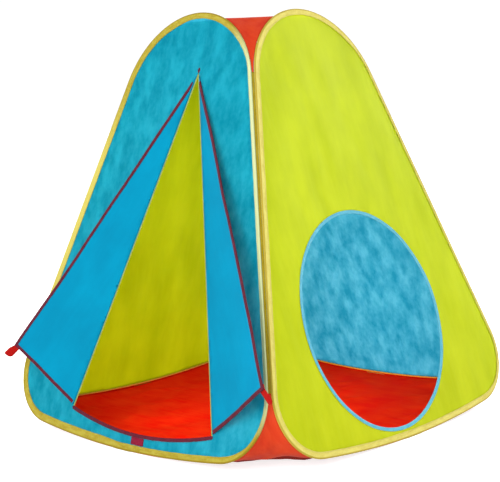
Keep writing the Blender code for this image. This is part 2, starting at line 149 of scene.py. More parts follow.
def edgeRoom(x, y):
    # how far a point of a wall is from its wire
    x = abs(x)
    room = min(sideDistance - (x + leanSin * y) / slant, bowRadius - hypot(x, y - bowRadius))
    if -pi / 2 + bowAngle < atan2(y - cornerY, x - cornerX) < sideAngle:
        room = cornerRadius - hypot(x - cornerX, y - cornerY)
    if y > topY and atan2(y - topY, x) > sideAngle:
        room = topRadius - hypot(x, y - topY)
    return room


def lineRoom(point, start, end):
    # distance from a point to a straight between two others
    along = (end - start).normalized()
    reach = min((end - start).length, max(0, (point - start).dot(along)))
    return (point - start - along * reach).length


def hingeEnds(side):
    # a flap hinge's foot and top, from the door's middle line
    return Vector((side * door["half"], door["cornerHeight"])), Vector((0, door["top"]))


def hingeRoom(x, y):
    # how far a point of the front wall is from the nearer flap hinge
    point = Vector((x - door["offset"], y))
    return min(lineRoom(point, *hingeEnds(side)) for side in (-1, 1))


def wallFrame(wall, lift=0.0):
    columns = Matrix(((1, 0, 0), (0, leanSin, leanCos), (0, -leanCos, leanSin))).transposed().to_4x4()
    start = Vector((0, -footHalf - leanCos * lift, tent["beadRadius"] + leanSin * lift))
    return Matrix.Rotation(wall * pi / 2, 4, "Z") @ Matrix.Translation(start) @ columns


# How the wall cloth stands out of its plane: broad slack, small ripples, and puckers along its seams that
# fan out from the middle of the wall. None of it reaches under the sleeves and the hinge seams.
slack = {
    "broad": 0.0045, "broadSize": 0.21, "broadTall": 0.8,
    "ripple": 0.0012, "rippleSize": 0.060, "rippleWide": 1.4, "rippleTall": 0.6,
    "pucker": 0.0006, "puckerSize": 0.014, "puckerReach": 0.020, "puckerDepth": 0.05, "puckerEase": 0.006,
    "middle": 0.35, "fanReach": 0.38,
    "crease": 0.0024, "creaseReach": 0.110, "creaseEase": 0.03, "creaseFan": 2.6,
    "sleeveWidth": 0.0115, "hingeWidth": 0.002, "ease": 0.045,
}


def wallLift(wall, x, y):
    room = edgeRoom(x, y) - slack["sleeveWidth"]
    if wall == 0:
        room = min(room, hingeRoom(x, y) - slack["hingeWidth"])
    if room <= 0:
        return 0.0
    seed = wall * 7.3
    broad = slackAt(x, y * slack["broadTall"], slack["broadSize"], seed)
    ripple = slackAt(x * slack["rippleWide"], y * slack["rippleTall"], slack["rippleSize"], seed + 3)
    around = atan2(y - slack["middle"], x) * slack["fanReach"]
    pucker = noiseAt(around / slack["puckerSize"], room / slack["puckerDepth"], seed)
    lift = softStep(room / slack["ease"]) * (slack["broad"] * broad + slack["ripple"] * ripple)
    fade = exp(-room / slack["puckerReach"])
    lift += softStep(room / slack["puckerEase"]) * slack["pucker"] * pucker * fade
    if wall == 0 and y > door["top"]:
        # creases that run up from the top of the door
        reach = hypot(x - door["offset"], y - door["top"])
        fan = atan2(x - door["offset"], y - door["top"])
        ridge = abs(noiseAt(fan * slack["creaseFan"], 1.7, seed))
        crease = ridge * exp(-reach / slack["creaseReach"])
        lift -= slack["crease"] * 2 * crease * softStep(room / slack["creaseEase"])
    return lift


def onWall(wall, lift=0.0):
    # gives the function that puts a point of a wall in the tent
    here = wallFrame(wall, lift)

    def place(x, y, height):
        return here @ Vector((x, y, height + wallLift(wall, x, y)))
    return place


# The door flaps, drawn in the front wall's plane from the door's middle line, and then turned open. They
# wave more than the walls, and their free edges curl.
flapSlack = {
    "wave": 0.0042, "waveSize": 0.13, "waveTall": 0.7,
    "ripple": 0.0012, "rippleSize": 0.045, "rippleTall": 0.6,
    "ease": 0.070, "curl": 0.007, "width": 0.21,
}


def sillCircle():
    rise = door["cornerHeight"] - door["footHeight"]
    radius = (door["half"] ** 2 + rise ** 2) / (2 * rise)
    return door["footHeight"] + radius, radius, asin(door["half"] / radius)


def flapCut(side):
    # a flap's hinge foot and the way its hinge runs, and its cloth's outer, free and top corners
    height, radius, _ = sillCircle()
    hingeFoot, apex = hingeEnds(side)
    upwards = (apex - hingeFoot).normalized()
    inwards = Vector((upwards.y, -upwards.x)) * -side
    bottom = radius - door["footGap"]
    outer = hingeFoot + inwards * door["hingeGap"]
    along = outer - Vector((0, height))
    drop = along.dot(upwards)
    outer -= upwards * (drop + sqrt(drop ** 2 - along.length_squared + bottom ** 2))
    free = Vector((side * door["splitGap"], door["footHeight"] + door["freeRise"]))
    tip = outer + upwards * ((abs(outer.x) - door["splitGap"]) / abs(upwards.x))
    return hingeFoot, upwards, outer, free, tip


def flapLift(side, x, y):
    room = lineRoom(Vector((x, y)), *hingeEnds(side))
    wave = slackAt(x, y * flapSlack["waveTall"], flapSlack["waveSize"], 40 + side)
    ripple = slackAt(x, y * flapSlack["rippleTall"], flapSlack["rippleSize"], 50 + side)
    lift = softStep(room / flapSlack["ease"]) * (flapSlack["wave"] * wave + flapSlack["ripple"] * ripple)
    return lift - flapSlack["curl"] * (room / flapSlack["width"]) ** 2


def onFlap(side):
    base = wallFrame(0, door["standOff"]) @ Matrix.Translation((door["offset"], 0, 0))
    hingeFoot, upwards, *_ = flapCut(side)
    point, axis = Vector((*hingeFoot, 0)), Vector((*upwards, 0)) * side
    angle = door["rightOpen"] if side > 0 else door["leftOpen"]
    opened = Matrix.Translation(point) @ Matrix.Rotation(angle, 4, axis) @ Matrix.Translation(-point)
    here = base @ opened

    def place(x, y, height):
        return here @ Vector((x, y, height + flapLift(side, x, y)))
    return place


def onCloth(spots, loops):
    # which of many points lie inside the first line and outside the others
    kept = inLoop(spots, loops[0])
    for hole in loops[1:]:
        kept &= ~inLoop(spots, hole)
    return kept


def inLoop(spots, loop):
    # which of many points lie inside a closed line
    inside = np.zeros(len(spots), bool)
    x, y = spots[:, 0], spots[:, 1]
    for (x0, y0), (x1, y1) in zip(loop, loop[1:] + loop[:1]):
        if y0 == y1:
            continue
        crosses = (y0 > y) != (y1 > y)
        inside ^= crosses & (x < (x1 - x0) * (y - y0) / (y1 - y0) + x0)
    return inside


# an even triangle's height, and how near the rim a net's inner points may lie, as shares of its side, and
# the distance at which two points count as one, in metres
rowShare, rimShare, samePoint = 0.866, 0.55, 1e-7


def clothNet(loops, spacing):
    # an even net of triangles inside the first loop and outside the others
    rim = [spot for loop in loops for spot in loop]
    near = kdtree.KDTree(len(rim))
    edges = []
    for index, (x, y) in enumerate(rim):
        near.insert((x, y, 0), index)
    near.balance()
    first = 0
    for loop in loops:
        edges += [(first + here, first + (here + 1) % len(loop)) for here in range(len(loop))]
        first += len(loop)
    low, high = np.min(rim, 0), np.max(rim, 0)
    grid = []
    steps = int((high[0] - low[0]) / spacing) + 1
    for row in range(int((high[1] - low[1]) / (spacing * rowShare)) + 1):
        y = low[1] + row * spacing * rowShare
        shift = spacing / 2 * (row % 2)
        grid += [(low[0] + shift + step * spacing, y) for step in range(steps)]
    grid = np.array(grid)
    inner = [spot for spot in grid[onCloth(grid, loops)].tolist()
             if near.find((*spot, 0))[2] > spacing * rimShare]
    spots = [Vector(spot) for spot in rim + inner]
    points, _, faces, *_ = geometry.delaunay_2d_cdt(spots, edges, [], 0, samePoint)
    points = np.array([tuple(point) for point in points])
    middles = np.array([points[list(face)].mean(0) for face in faces])
    return points.tolist(), [tuple(face) for face, keep in zip(faces, onCloth(middles, loops)) if keep]


def addObject(name, data):
    piece = bpy.data.objects.new(name, data)
    bpy.context.scene.collection.objects.link(piece)
    return piece


# edges that turn by more than this stay crisp
crispAngle = radians(50)


def finishMesh(name, bm, material, thickness=0.0):
    # a mesh object that faces outwards, thickened to its cloth where it is a single sheet
    bmesh.ops.recalc_face_normals(bm, faces=bm.faces)
    mesh = bpy.data.meshes.new(name)
    bm.to_mesh(mesh)
    bm.free()
    mesh.materials.append(material)
    mesh.shade_smooth()
    mesh.set_sharp_from_angle(angle=crispAngle)
    piece = addObject(name, mesh)
    if thickness:
        solid = piece.modifiers.new("thickness", "SOLIDIFY")
        solid.thickness = thickness
        solid.offset = 0
    return piece


def addPoint(points, point):
    # adds a point to a list and gives its place in it
    points.append(point)
    return len(points) - 1


def rowFaces(rows, faces):
    # adds the four-cornered faces between rows of points
    for low, high in zip(rows, rows[1:]):
        for step in range(len(low) - 1):
            faces.append((low[step], low[step + 1], high[step + 1], high[step]))


def sheetPiece(name, points, faces, spots, material, **more):
    # spots are each point's place on the flat cloth, in metres, which the weave follows
    bm = bmesh.new()
    layer = bm.loops.layers.uv.new("cloth")
    knots = [bm.verts.new(point) for point in points]
    for face in faces:
        for corner, index in zip(bm.faces.new([knots[index] for index in face]).loops, face):
            corner[layer].uv = spots[index]
    return finishMesh(name, bm, material, **more)


def netPiece(name, loops, look, place, material, shift=0):
    # a cloth cut to the first loop, with the others as holes; its weave starts at its own shift
    spots, faces = clothNet(loops, look["grid"])
    points = [place(x, y, 0) for x, y in spots]
    weave = [(x + shift, y) for x, y in spots]
    return sheetPiece(f"{name}_sewn", points, faces, weave, material, thickness=look["thickness"])


def clothArea(name, piece):
    # prints and gives a sheet's area, in square metres
    area = sum(face.area for face in piece.data.polygons)
    print(name, "area", round(area, 4))
    return area


def stripPiece(name, stations, section, place, closed, material):
    # carries a folded strip's section, (depth, height) points, along stations (x, y, inward x, inward y)
    bm = bmesh.new()
    layer = bm.loops.layers.uv.new("cloth")
    rings, alongs = [], [0.0]
    for index, (x, y, inX, inY) in enumerate(stations):
        outline = section(alongs[-1], index, len(stations))
        spots = [place(x + depth * inX, y + depth * inY, height) for depth, height in outline]
        rings.append([bm.verts.new(spot) for spot in spots])
        nextX, nextY, *_ = stations[(index + 1) % len(stations)]
        alongs.append(alongs[-1] + hypot(nextX - x, nextY - y))
    outline = section(0, 0, len(stations))
    arounds = [0.0]
    for (d0, h0), (d1, h1) in zip(outline, outline[1:] + outline[:1]):
        arounds.append(arounds[-1] + hypot(d1 - d0, h1 - h0))
    for near in range(len(rings) if closed else len(rings) - 1):
        for here in range(len(outline)):
            corners = ((near, here), (near, here + 1), (near + 1, here + 1), (near + 1, here))
            knots = [rings[ring % len(rings)][turn % len(outline)] for ring, turn in corners]
            for corner, (ring, turn) in zip(bm.faces.new(knots).loops, corners):
                corner[layer].uv = (alongs[ring], arounds[turn])
    if not closed:
        bm.faces.new(rings[0])
        bm.faces.new(reversed(rings[-1]))
    return finishMesh(name, bm, material)


def stitchRow(name, stations, place, look, material, closed):
    # one short raised thread after another, along stations (x, y, inward x, inward y)
    bm = bmesh.new()
    line = [Vector((x + inX * look["depth"], y + inY * look["depth"])) for x, y, inX, inY in stations]
    if closed:
        line.append(line[0])
    walked, due = 0.0, look["pitch"] / 2
    for start, end in zip(line, line[1:]):
        length = (end - start).length
        while due < walked + length:
            along = (end - start) / length
            middle = start + along * (due - walked)
            side = Vector((-along.y, along.x)) * look["radius"]
            half = along * look["length"] / 2
            tips = [middle - half, middle + half]
            ends = [bm.verts.new(place(tip.x, tip.y, look["height"])) for tip in tips]
            belt = [bm.verts.new(place(middle.x + side.x * across, middle.y + side.y * across,
                                       look["height"] + look["radius"] * out))
                    for across, out in ((0, 1), (1, 0), (0, -1), (-1, 0))]
            for here in range(4):
                after = (here + 1) % 4
                bm.faces.new((ends[0], belt[here], belt[after]))
                bm.faces.new((ends[1], belt[after], belt[here]))
            due += look["pitch"]
        walked += length
    return finishMesh(name, bm, material)


def handIn(piece, body, slotName, *nodes):
    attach(piece, body)
    if nodes:
        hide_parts(*nodes)


def sewBothSides(node, lines, place, look, material, closed, body, slotName):
    # a row of stitches on each side of a strip, along a line for each
    for side, word, line in zip((1, -1), ("outer", "inner"), lines):
        sided = {**look, "height": look["height"] * side}
        handIn(stitchRow(f"{node}_{word}_stitches", line, place, sided, material, closed), body, slotName)


def lineLength(stations, closed):
    ends = stations[1:] + stations[:1] if closed else stations[1:]
    return sum(hypot(b[0] - a[0], b[1] - a[1]) for a, b in zip(stations, ends))


def linear(hexColour):
    # an sRGB hex colour as linear RGBA
    channels = [int(hexColour[start:start + 2], 16) / 255 for start in (1, 3, 5)]
    return (*[c / 12.92 if c <= 0.04045 else ((c + 0.055) / 1.055) ** 2.4 for c in channels], 1)


def addNode(tree, kind, settings, links):
    # links lead from a socket, or from a node's first output
    node = tree.nodes.new("ShaderNode" + kind)
    for key, value in settings.items():
        if isinstance(key, int) or key in node.inputs:
            node.inputs[key].default_value = value
        else:
            setattr(node, key, value)
    for key, source in links.items():
        output = source.outputs[0] if isinstance(source, bpy.types.Node) else source
        tree.links.new(output, node.inputs[key])
    return node


# one band of a wave texture of scale 1, in its own units
waveBand = 0.314


def clothMaterial(name, look):
    # thin cloth: the weave as bump, uneven dye as colour, on strips a painted shade line and painted paler
    # lengths, and some of the light coming through from behind
    material = bpy.data.materials.new(name)
    material.use_nodes = True
    tree = material.node_tree
    tree.nodes.clear()

    def node(kind, settings, links):
        return addNode(tree, kind, settings, links)

    flat = node("UVMap", {"uv_map": "cloth"}, {}).outputs["UV"]

    def clouds(sizeMm, settings):
        # noise stretched to a size in millimetres, across and along the cloth
        wide, tall = sizeMm
        place = node("Mapping", {"Scale": (1000 / wide, 1000 / tall, 1)}, {"Vector": flat})
        return node("TexNoise", {"Scale": 1, **settings}, {"Vector": place}).outputs["Fac"]

    def ramp(fromEnds, value, top=1):
        # rises from 0 to its top between two values
        low, high = fromEnds
        return node("MapRange", {"From Min": low, "From Max": high, "To Max": top}, {"Value": value})

    def blend(share, settings, links):
        return node("Mix", {"data_type": "RGBA", **settings}, {0: share, **links}).outputs[2]

    patch = clouds(look["patchMm"], {"Detail": 5, "Roughness": look["patchRough"]})
    patchShare = ramp(look["patchRange"], patch)
    dyes = look["deep"], look["pale"]
    # what comes through has its own colour, because it passes the dye twice or meets thin places
    colour, glow = (blend(patchShare, {6: linear(deep), 7: linear(pale)}, {})
                    for deep, pale in (dyes, look.get("lit", dyes)))
    streak = ramp(look["streakRange"], clouds(look["streakMm"], {"Detail": 3}), look["streakShare"])
    colour = blend(streak, {7: linear(look["streak"])}, {6: colour})
    if "edge" in look:
        # a darker line painted as shade along the bead's outer side, at one distance across the strip
        along, across, _ = node("SeparateXYZ", {}, {0: flat}).outputs
        offset = node("Math", {"operation": "SUBTRACT", 1: look["edgeAt"]}, {0: across})
        distance = node("Math", {"operation": "ABSOLUTE"}, {0: offset})
        colour = blend(ramp(look["edgeFade"], distance), {7: linear(look["edge"])}, {6: colour})
    for paintedLight, rise, fall in look.get("paintedLight", ()):
        # a paler length of the strip, painted light
        share = node("Math", {"operation": "MULTIPLY"}, {0: ramp(rise, along), 1: ramp(fall, along)})
        colour = blend(share, {7: linear(paintedLight)}, {6: colour})
    # threads of a light polyester are 0.2 mm apart: drawn wider, so that a close view shows them
    waveScale = waveBand * 1000 / look["threadMm"]
    warp, weft = (node("TexWave", {"bands_direction": way, "Scale": waveScale}, {"Vector": flat})
                  for way in "XY")
    threads = node("Math", {"operation": "MAXIMUM"},
                   {0: warp.outputs["Fac"], 1: weft.outputs["Fac"]})
    crinkle = node("TexNoise", {"Scale": 1000 / look["crinkleMm"], "Detail": 3,
                                "Distortion": look["crinkleTwist"]}, {"Vector": flat})
    heights = node("Math", {"operation": "MULTIPLY_ADD", 1: look["crinkle"]},
                   {0: crinkle.outputs["Fac"], 2: threads})
    bump = node("Bump", {"Strength": look["bump"], "Distance": look["threadHeight"]}, {"Height": heights})
    low, high = look["roughness"] - look["roughSpread"], look["roughness"] + look["roughSpread"]
    rough = node("MapRange", {"To Min": low, "To Max": high}, {"Value": patch})
    front = node("BsdfPrincipled", {"IOR": look["ior"], "Specular IOR Level": look["shine"],
                                    "Sheen Weight": look["sheen"], "Sheen Roughness": look["sheenRough"]},
                 {"Base Color": colour, "Roughness": rough, "Normal": bump})
    behind = node("BsdfTranslucent", {}, {"Color": glow, "Normal": bump})
    both = node("MixShader", {0: look["through"]}, {1: front, 2: behind})
    node("OutputMaterial", {}, {"Surface": both})
    return material


plain = {
    "patchMm": (60, 90), "patchRough": 0.6, "patchRange": (0.36, 0.64),
    "streakMm": (9, 150), "streakShare": 0.2, "streakRange": (0.4, 0.7),
    "threadMm": 1.1, "threadHeight": 0.0002, "bump": 0.3,
    "crinkleMm": 22, "crinkle": 1.2, "crinkleTwist": 0.6,
    "roughness": 0.75, "roughSpread": 0.06, "ior": 1.45, "shine": 0.15, "sheen": 0.0, "sheenRough": 0.5,
    # where a strip's painted shade line lies across it, and how far that line fades
    "through": 0.5, "edgeAt": 0.0028, "edgeFade": (0.0035, 0.002),
}
# brushed polyester, dyed turquoise: the nap takes the dye in small clouds
turquoise = clothMaterial("brushed polyester, turquoise", {
    **plain, "deep": "#007e94", "pale": "#0c9aae", "patchMm": (34, 60), "patchRough": 0.68, "shine": 0.05,
    "streak": "#2a9cac", "streakMm": (10, 40), "streakShare": 0.12, "lit": ("#68bcd2", "#a2d8e8")})
# the same cloth from a plainer roll, for the door
flapBlue = clothMaterial("brushed polyester, door blue", {
    **plain, "deep": "#007c9e", "pale": "#0086a8", "patchMm": (90, 120), "streak": "#0894b8",
    "streakShare": 0.15, "through": 0.35, "shine": 0.05})
# light polyester taffeta, dyed lime: soft streaks where the warp is uneven
lime = clothMaterial("polyester taffeta, lime", {
    **plain, "deep": "#b6c400", "pale": "#c2d018", "patchMm": (70, 200), "streak": "#c0d030",
    "streakMm": (6, 170), "streakShare": 0.25, "shine": 0.12, "roughness": 0.6,
    "lit": ("#c8d000", "#d8dc00")})
# heavier polyester for the groundsheet's upper side: bright and nearly matt
redCloth = clothMaterial("coated polyester, red", {
    **plain, "deep": "#ea0600", "pale": "#f02806", "patchMm": (80, 60), "streak": "#f44810",
    "streakMm": (120, 10), "streakShare": 0.25, "roughness": 0.85, "shine": 0.03, "through": 0.25})
# the same cloth where it faces outwards, at the gussets and the roof: a darker, more orange red than the
# floor's upper side, with a faint shine
redOuter = clothMaterial("coated polyester, red, outer face", {
    **plain, "deep": "#ac2406", "pale": "#b83610", "patchMm": (30, 40), "streak": "#c84424",
    "streakMm": (30, 8), "streakShare": 0.25, "roughness": 0.6, "shine": 0.15, "through": 0.25})
# and its underside: painted dark as shade, for where it shows at the gussets' foot, and dull
redUnderShade = clothMaterial("coated polyester, red, underside in painted shade", {
    **plain, "deep": "#6c0e04", "pale": "#7c180a", "patchMm": (30, 40), "streak": "#8a2410",
    "streakMm": (30, 8), "roughness": 0.8, "shine": 0.03, "through": 0.1})
# polyester bias strip, folded over and sewn: denser than the walls, so less light comes through
denseStrip = {**plain, "patchMm": (26, 9), "streakMm": (4, 9), "streakShare": 0.25, "threadMm": 0.9,
              "bump": 0.5, "through": 0.12}
# its edge colour is painted shade along the bead's outer side
yellowStrip = clothMaterial("polyester bias strip, yellow", {
    **denseStrip, "deep": "#aea046", "pale": "#beb45a", "streak": "#c6c074", "edge": "#98862c"})
# the same strip, painted darker as shade, as it is round the front and left walls, with paler lengths up
# their sides painted as light: cream on the right. A side starts and ends at these distances along the strip.
sideStart = 2 * bowAngle * bowRadius + (sideAngle + pi / 2 - bowAngle) * cornerRadius
sideEnd = sideStart + lineLength([cornerLine(1)[-1], topLine(1)[0]], False)
leftStart = sideEnd + topRadius * (pi - 2 * sideAngle)
leftEnd = leftStart + sideEnd - sideStart
# a darker copy of the yellow strip, as painted shade, with paler lengths painted as light; its edge colour is
# painted shade along the bead
shadedSleeveStrip = clothMaterial("polyester bias strip, yellow in painted shade", {
    **denseStrip, "deep": "#82700f", "pale": "#968a2e", "streak": "#a8a050", "edge": "#7c680c", "paintedLight": (
        ("#aab284", (sideStart - 0.09, sideStart - 0.01), (sideEnd + 0.13, sideEnd + 0.02)),
        ("#aca04c", (leftStart + 0.02, leftStart + 0.20), (leftEnd + 0.02, leftEnd - 0.12)))})
# the tape between two walls: dark olive, painted as the shade line between the two sleeves, with hardly any
# shine
seamShadeTape = clothMaterial("polyester seam tape, olive", {
    **denseStrip, "deep": "#7a6810", "pale": "#86761c", "streak": "#948634", "shine": 0.02})
# the hem along a flap's hinge: darker than the walls, its olive green painted as the shade along the hinge
hingeShadeStrip = clothMaterial("polyester hem, pale green", {
    **denseStrip, "deep": "#6c7838", "pale": "#808c4c", "streak": "#909c64"})
# the groundsheet's sewn edge: a bright line of close threads
hemEdge = clothMaterial("overlocked edge, orange", {
    **denseStrip, "deep": "#d07c20", "pale": "#e08e30", "patchMm": (6, 2), "streak": "#f0a850"})
# the bindings, with finer clouds of dye than the sleeves
maroonStrip = clothMaterial("polyester bias strip, maroon", {
    **denseStrip, "deep": "#420a1a", "pale": "#501224", "patchMm": (18, 6), "streak": "#5e2232",
    "through": 0.08})
paleBlueStrip = clothMaterial("polyester bias strip, pale blue", {
    **denseStrip, "deep": "#408ca2", "pale": "#549cae", "patchMm": (18, 6), "streak": "#74aeba",
    "through": 0.1})
# hook-and-loop tape: a coarse pile that scatters light
tape = {**plain, "patchMm": (5, 5), "streakMm": (3, 3), "streakShare": 0.3, "threadMm": 1.4, "bump": 1.0,
        "roughness": 0.85, "shine": 0.05, "through": 0.03}
redTape = clothMaterial("hook-and-loop tape, red", {
    **tape, "deep": "#820608", "pale": "#900e0a", "streak": "#a02418"})
maroonTape = clothMaterial("hook-and-loop tape, maroon", {
    **tape, "deep": "#600c20", "pale": "#70142a", "streak": "#803040"})
print("cloth materials made")


def plainMaterial(name, settings):
    # a material with Blender's own shader, and that shader
    material = bpy.data.materials.new(name)
    material.use_nodes = True
    shader = material.node_tree.nodes["Principled BSDF"]
    for key, value in settings.items():
        shader.inputs[key].default_value = value
    return material, shader


wireLook = {"colour": "#b4b4b2", "markMm": 1.5, "smoothest": 0.28, "roughest": 0.42}


def springSteel():
    # hardened spring wire, drawn through a die: its marks break up the shine
    material, shader = plainMaterial("spring steel wire, drawn", {
        "Base Color": linear(wireLook["colour"]), "Metallic": 1})
    tree = material.node_tree
    place = addNode(tree, "TexCoord", {}, {}).outputs["Object"]
    marks = addNode(tree, "TexNoise", {"Scale": 1000 / wireLook["markMm"], "Detail": 4}, {"Vector": place})
    rough = addNode(tree, "MapRange", {"To Min": wireLook["smoothest"], "To Max": wireLook["roughest"]},
                    {"Value": marks.outputs["Fac"]})
    tree.links.new(rough.outputs[0], shader.inputs["Roughness"])
    return material


steel = springSteel()
for name in wallNames:
    for word in ("wire_loop", "ferrule"):
        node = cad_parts[f"{name}_{word}"]
        node.data.materials.clear()
        node.data.materials.append(steel)
print("wires and ferrules finished")

# Wall cloths
wallCloth = {"grid": 0.010, "rim": 0.007, "thickness": 0.0008, "flat": (0.86, 0.93)}


def splitLoop(corners, spacing):
    # a closed line through corners, with points along its straights
    loop = []
    for here, after in zip(corners, corners[1:] + corners[:1]):
        loop += [spot[:2] for spot in run((*here, 0), (*after, 0), spacing)[:-1]]
    return loop


def doorLoop(spacing):
    height, radius, reach = sillCircle()
    sill = [spot[:2] for spot in arc((0, height), radius, -pi / 2 - reach, -pi / 2 + reach, spacing)]
    corners = sill + [(0, door["top"])]
    return [(x + door["offset"], y) for x, y in splitLoop(corners, spacing)]


def holeLoop(spacing):
    steps = ceil(pi * (crawlHole["across"] + crawlHole["up"]) / 2 / spacing)
    turns = [2 * pi * step / steps for step in range(steps)]
    return [(crawlHole["x"] + crawlHole["across"] / 2 * cos(turn),
             crawlHole["y"] + crawlHole["up"] / 2 * sin(turn)) for turn in turns]


def makeWall(wall, material, slotName, holes):
    inset = tent["clothInset"]
    outline = [(x - inset * cos(turn), y - inset * sin(turn)) for x, y, turn in wireLine(wallCloth["rim"])]
    name = f"{wallNames[wall]}_wall_cloth"
    piece = netPiece(name, [outline, *holes], wallCloth, onWall(wall), material, wall * 1.37)
    area = clothArea(name, piece)
    handIn(piece, f"{wallNames[wall]}_wall", slotName, name)


rimSpacing = wallCloth["rim"]
makeWall(0, turquoise, "blue_cloth", [doorLoop(rimSpacing)])
makeWall(1, lime, "lime_cloth", [holeLoop(rimSpacing)])
makeWall(2, turquoise, "blue_cloth", [])
makeWall(3, lime, "lime_cloth", [])
print("wall cloths made")

# Sleeves: a bias strip folded over the wire, sewn down through the wall cloth near its two edges. The rows
# of stitches follow the legs' own depth.
sleeve = {
    "spacing": 0.006, "bead": 0.0022, "cloth": 0.0008, "stripWidth": 0.026, "beadSteps": 10, "hollowSteps": 8,
    # how far its outer and inner legs reach in, and where along them they bend and are sewn
    "width": 0.0115, "wide": 0.0155, "narrow": 0.0056, "inner": 0.0045,
    "bendStart": 0.0015, "bendShare": 0.40, "seamShare": 0.83,
    # a leg's height above the wall, that at its seam, its cut edge's thickness, and how far that stands up
    "leg": 0.0015, "pinch": 0.0012, "edge": 0.0007, "flare": 0.0004,
    "pucker": 0.0005, "puckerSize": 0.010, "beadPucker": 0.05, "joinSteps": 6,
    "ferruleRoom": 0.0009, "ferruleHalf": 0.022, "ferruleFade": 0.015,
    # where the outer leg is turned in
    "sideFade": 0.08, "lowStart": 0.01, "lowFade": 0.05, "topStart": 0.17, "topFade": 0.10,
    "footStart": 0.05, "footFade": 0.08,
}
sleeveStitch = {"depth": 1, "height": 0.00135, "pitch": 0.0042, "length": 0.0034, "radius": 0.00032}


def sleeveWidth(wall, x, y):
    # the outer leg is turned in narrow up a wall's right side, where the next wall's sleeve stands against
    # it, and along the foot of the back and left walls
    turned = softStep(x / sleeve["sideFade"]) * softStep((y - sleeve["lowStart"]) / sleeve["lowFade"])
    turned *= softStep((topY + sleeve["topStart"] - y) / sleeve["topFade"])
    if wall > 1:
        turned = max(turned, 1 - softStep((y - sleeve["footStart"]) / sleeve["footFade"]))
    width = sleeve["width"]
    if wall == 0:
        # and it is wider up the front wall's left side
        width += (sleeve["wide"] - sleeve["width"]) * softStep(-x / sleeve["sideFade"])
    return width + (sleeve["narrow"] - width) * turned


def legLine(width):
    # how deep in from the wire a leg of some width bends, and how deep it is sewn
    return sleeve["bendStart"] + width * sleeve["bendShare"], width * sleeve["seamShare"]


def bow(radius, start, sweep, steps):
    # points of a section round the wire
    turns = [start + sweep * step / steps for step in range(steps + 1)]
    return [(radius * cos(turn), radius * sin(turn)) for turn in turns]


def sleeveSection(wall, widths):
    middle = (len(footLine(sleeve["spacing"])) - 1) / 2

    def section(along, index, count):
        # the pucker fades at the strip's join, at the foot, so that the run closes
        fade = softStep(min(index, count - index) / sleeve["joinSteps"])
        pull = noiseAt(along / sleeve["puckerSize"], wall * 5.1, 0.4) * fade
        # the strip bulges over the ferrule, halfway along the foot
        away = abs(index - middle) * sleeve["spacing"]
        ferruleShare = 1 - softStep((away - sleeve["ferruleHalf"]) / sleeve["ferruleFade"])
        bead = sleeve["bead"] * (1 + sleeve["beadPucker"] * pull) + sleeve["ferruleRoom"] * ferruleShare
        hollow = bead - sleeve["cloth"]
        leg, pinch, tip = sleeve["leg"], sleeve["pinch"], widths[index] + sleeve["pucker"] * pull
        bend, seam = legLine(widths[index])
        backTip = sleeve["inner"] + sleeve["pucker"] * pull / 2
        backBend, backSeam = legLine(sleeve["inner"])
        flare, edge = leg + sleeve["flare"] * abs(pull), leg - sleeve["edge"]
        shoulder = atan2(leg, bead)
        mouth = atan2(leg - sleeve["cloth"], hollow)
        outer = bow(bead, pi / 2 - shoulder, pi + 2 * shoulder, sleeve["beadSteps"])
        inner = bow(hollow, 2 * pi - mouth, 2 * mouth - 2 * pi, sleeve["hollowSteps"])
        upper = [(tip, edge), (tip, flare), (seam, pinch), (bend, leg)]
        lower = [(backBend, -leg), (backSeam, -pinch), (backTip, -flare), (backTip, -edge)]
        return outer + lower + inner + upper
    return section


def makeSleeve(wall):
    stations = [(x, y, -cos(turn), -sin(turn)) for x, y, turn in wireLine(sleeve["spacing"])]
    widths = [sleeveWidth(wall, x, y) for x, y, *_ in stations]
    name = f"{wallNames[wall]}_sleeve"
    body = f"{wallNames[wall]}_wall"
    place = onWall(wall)
    # the front and left walls' sleeves take the strip painted darker as shade, with its paler lengths painted
    # as light
    strip = yellowStrip if wall in (1, 2) else shadedSleeveStrip
    piece = stripPiece(f"{name}_sewn", stations, sleeveSection(wall, widths), place, True, strip)
    length = lineLength(stations, True)
    handIn(piece, body, "yellow_sleeve", name)
    legs = widths, [sleeve["inner"]] * len(widths)
    seams = [[legLine(width)[1] for width in leg] for leg in legs]
    lines = [[(x, y, inX * depth, inY * depth) for (x, y, inX, inY), depth in zip(stations, seam)]
             for seam in seams]
    sewBothSides(name, lines, place, sleeveStitch, strip, True, body, "yellow_sleeve")


for wall in range(4):
    makeSleeve(wall)
print("sleeves made")

# Bias bindings, folded over a cloth edge: sewn at a depth, with the cut edges flaring a little.
binding = {
    "spacing": 0.006, "width": 0.0066, "half": 0.0012, "cloth": 0.0005, "fold": 0.0008, "endTrim": 0.0015,
    "pucker": 0.00035, "puckerSize": 0.009, "joinSteps": 4, "flare": 0.0002,
    "seam": 0.0016, "pinch": 0.0002, "foldSteps": 6,
}
bindingStitch = {"depth": 0.0050, "height": 0.00105, "pitch": 0.0036, "length": 0.0028, "radius": 0.00028}


def bindingSection(seed, widths=None):
    turns = [pi * step / binding["foldSteps"] for step in range(binding["foldSteps"] + 1)]

    def section(along, index, count):
        fade = softStep(min(index, count - index) / binding["joinSteps"])
        pull = noiseAt(along / binding["puckerSize"], seed, 0.7) * fade
        width = (widths[index] if widths else binding["width"]) + binding["pucker"] * pull
        half = binding["half"]
        centre, hollow = half - binding["fold"], half - binding["cloth"]
        outer = [(centre - half * sin(turn), half * cos(turn)) for turn in turns]
        inner = [(centre - hollow * sin(turn), -hollow * cos(turn)) for turn in turns]
        seam, sewn = width - binding["seam"], half - binding["pinch"]
        flare = half + binding["flare"] * abs(pull)
        lower = [(seam, -sewn), (width, -flare), (width, -hollow)]
        upper = [(width, hollow), (width, flare), (seam, sewn)]
        return outer + lower + inner + upper
    return section


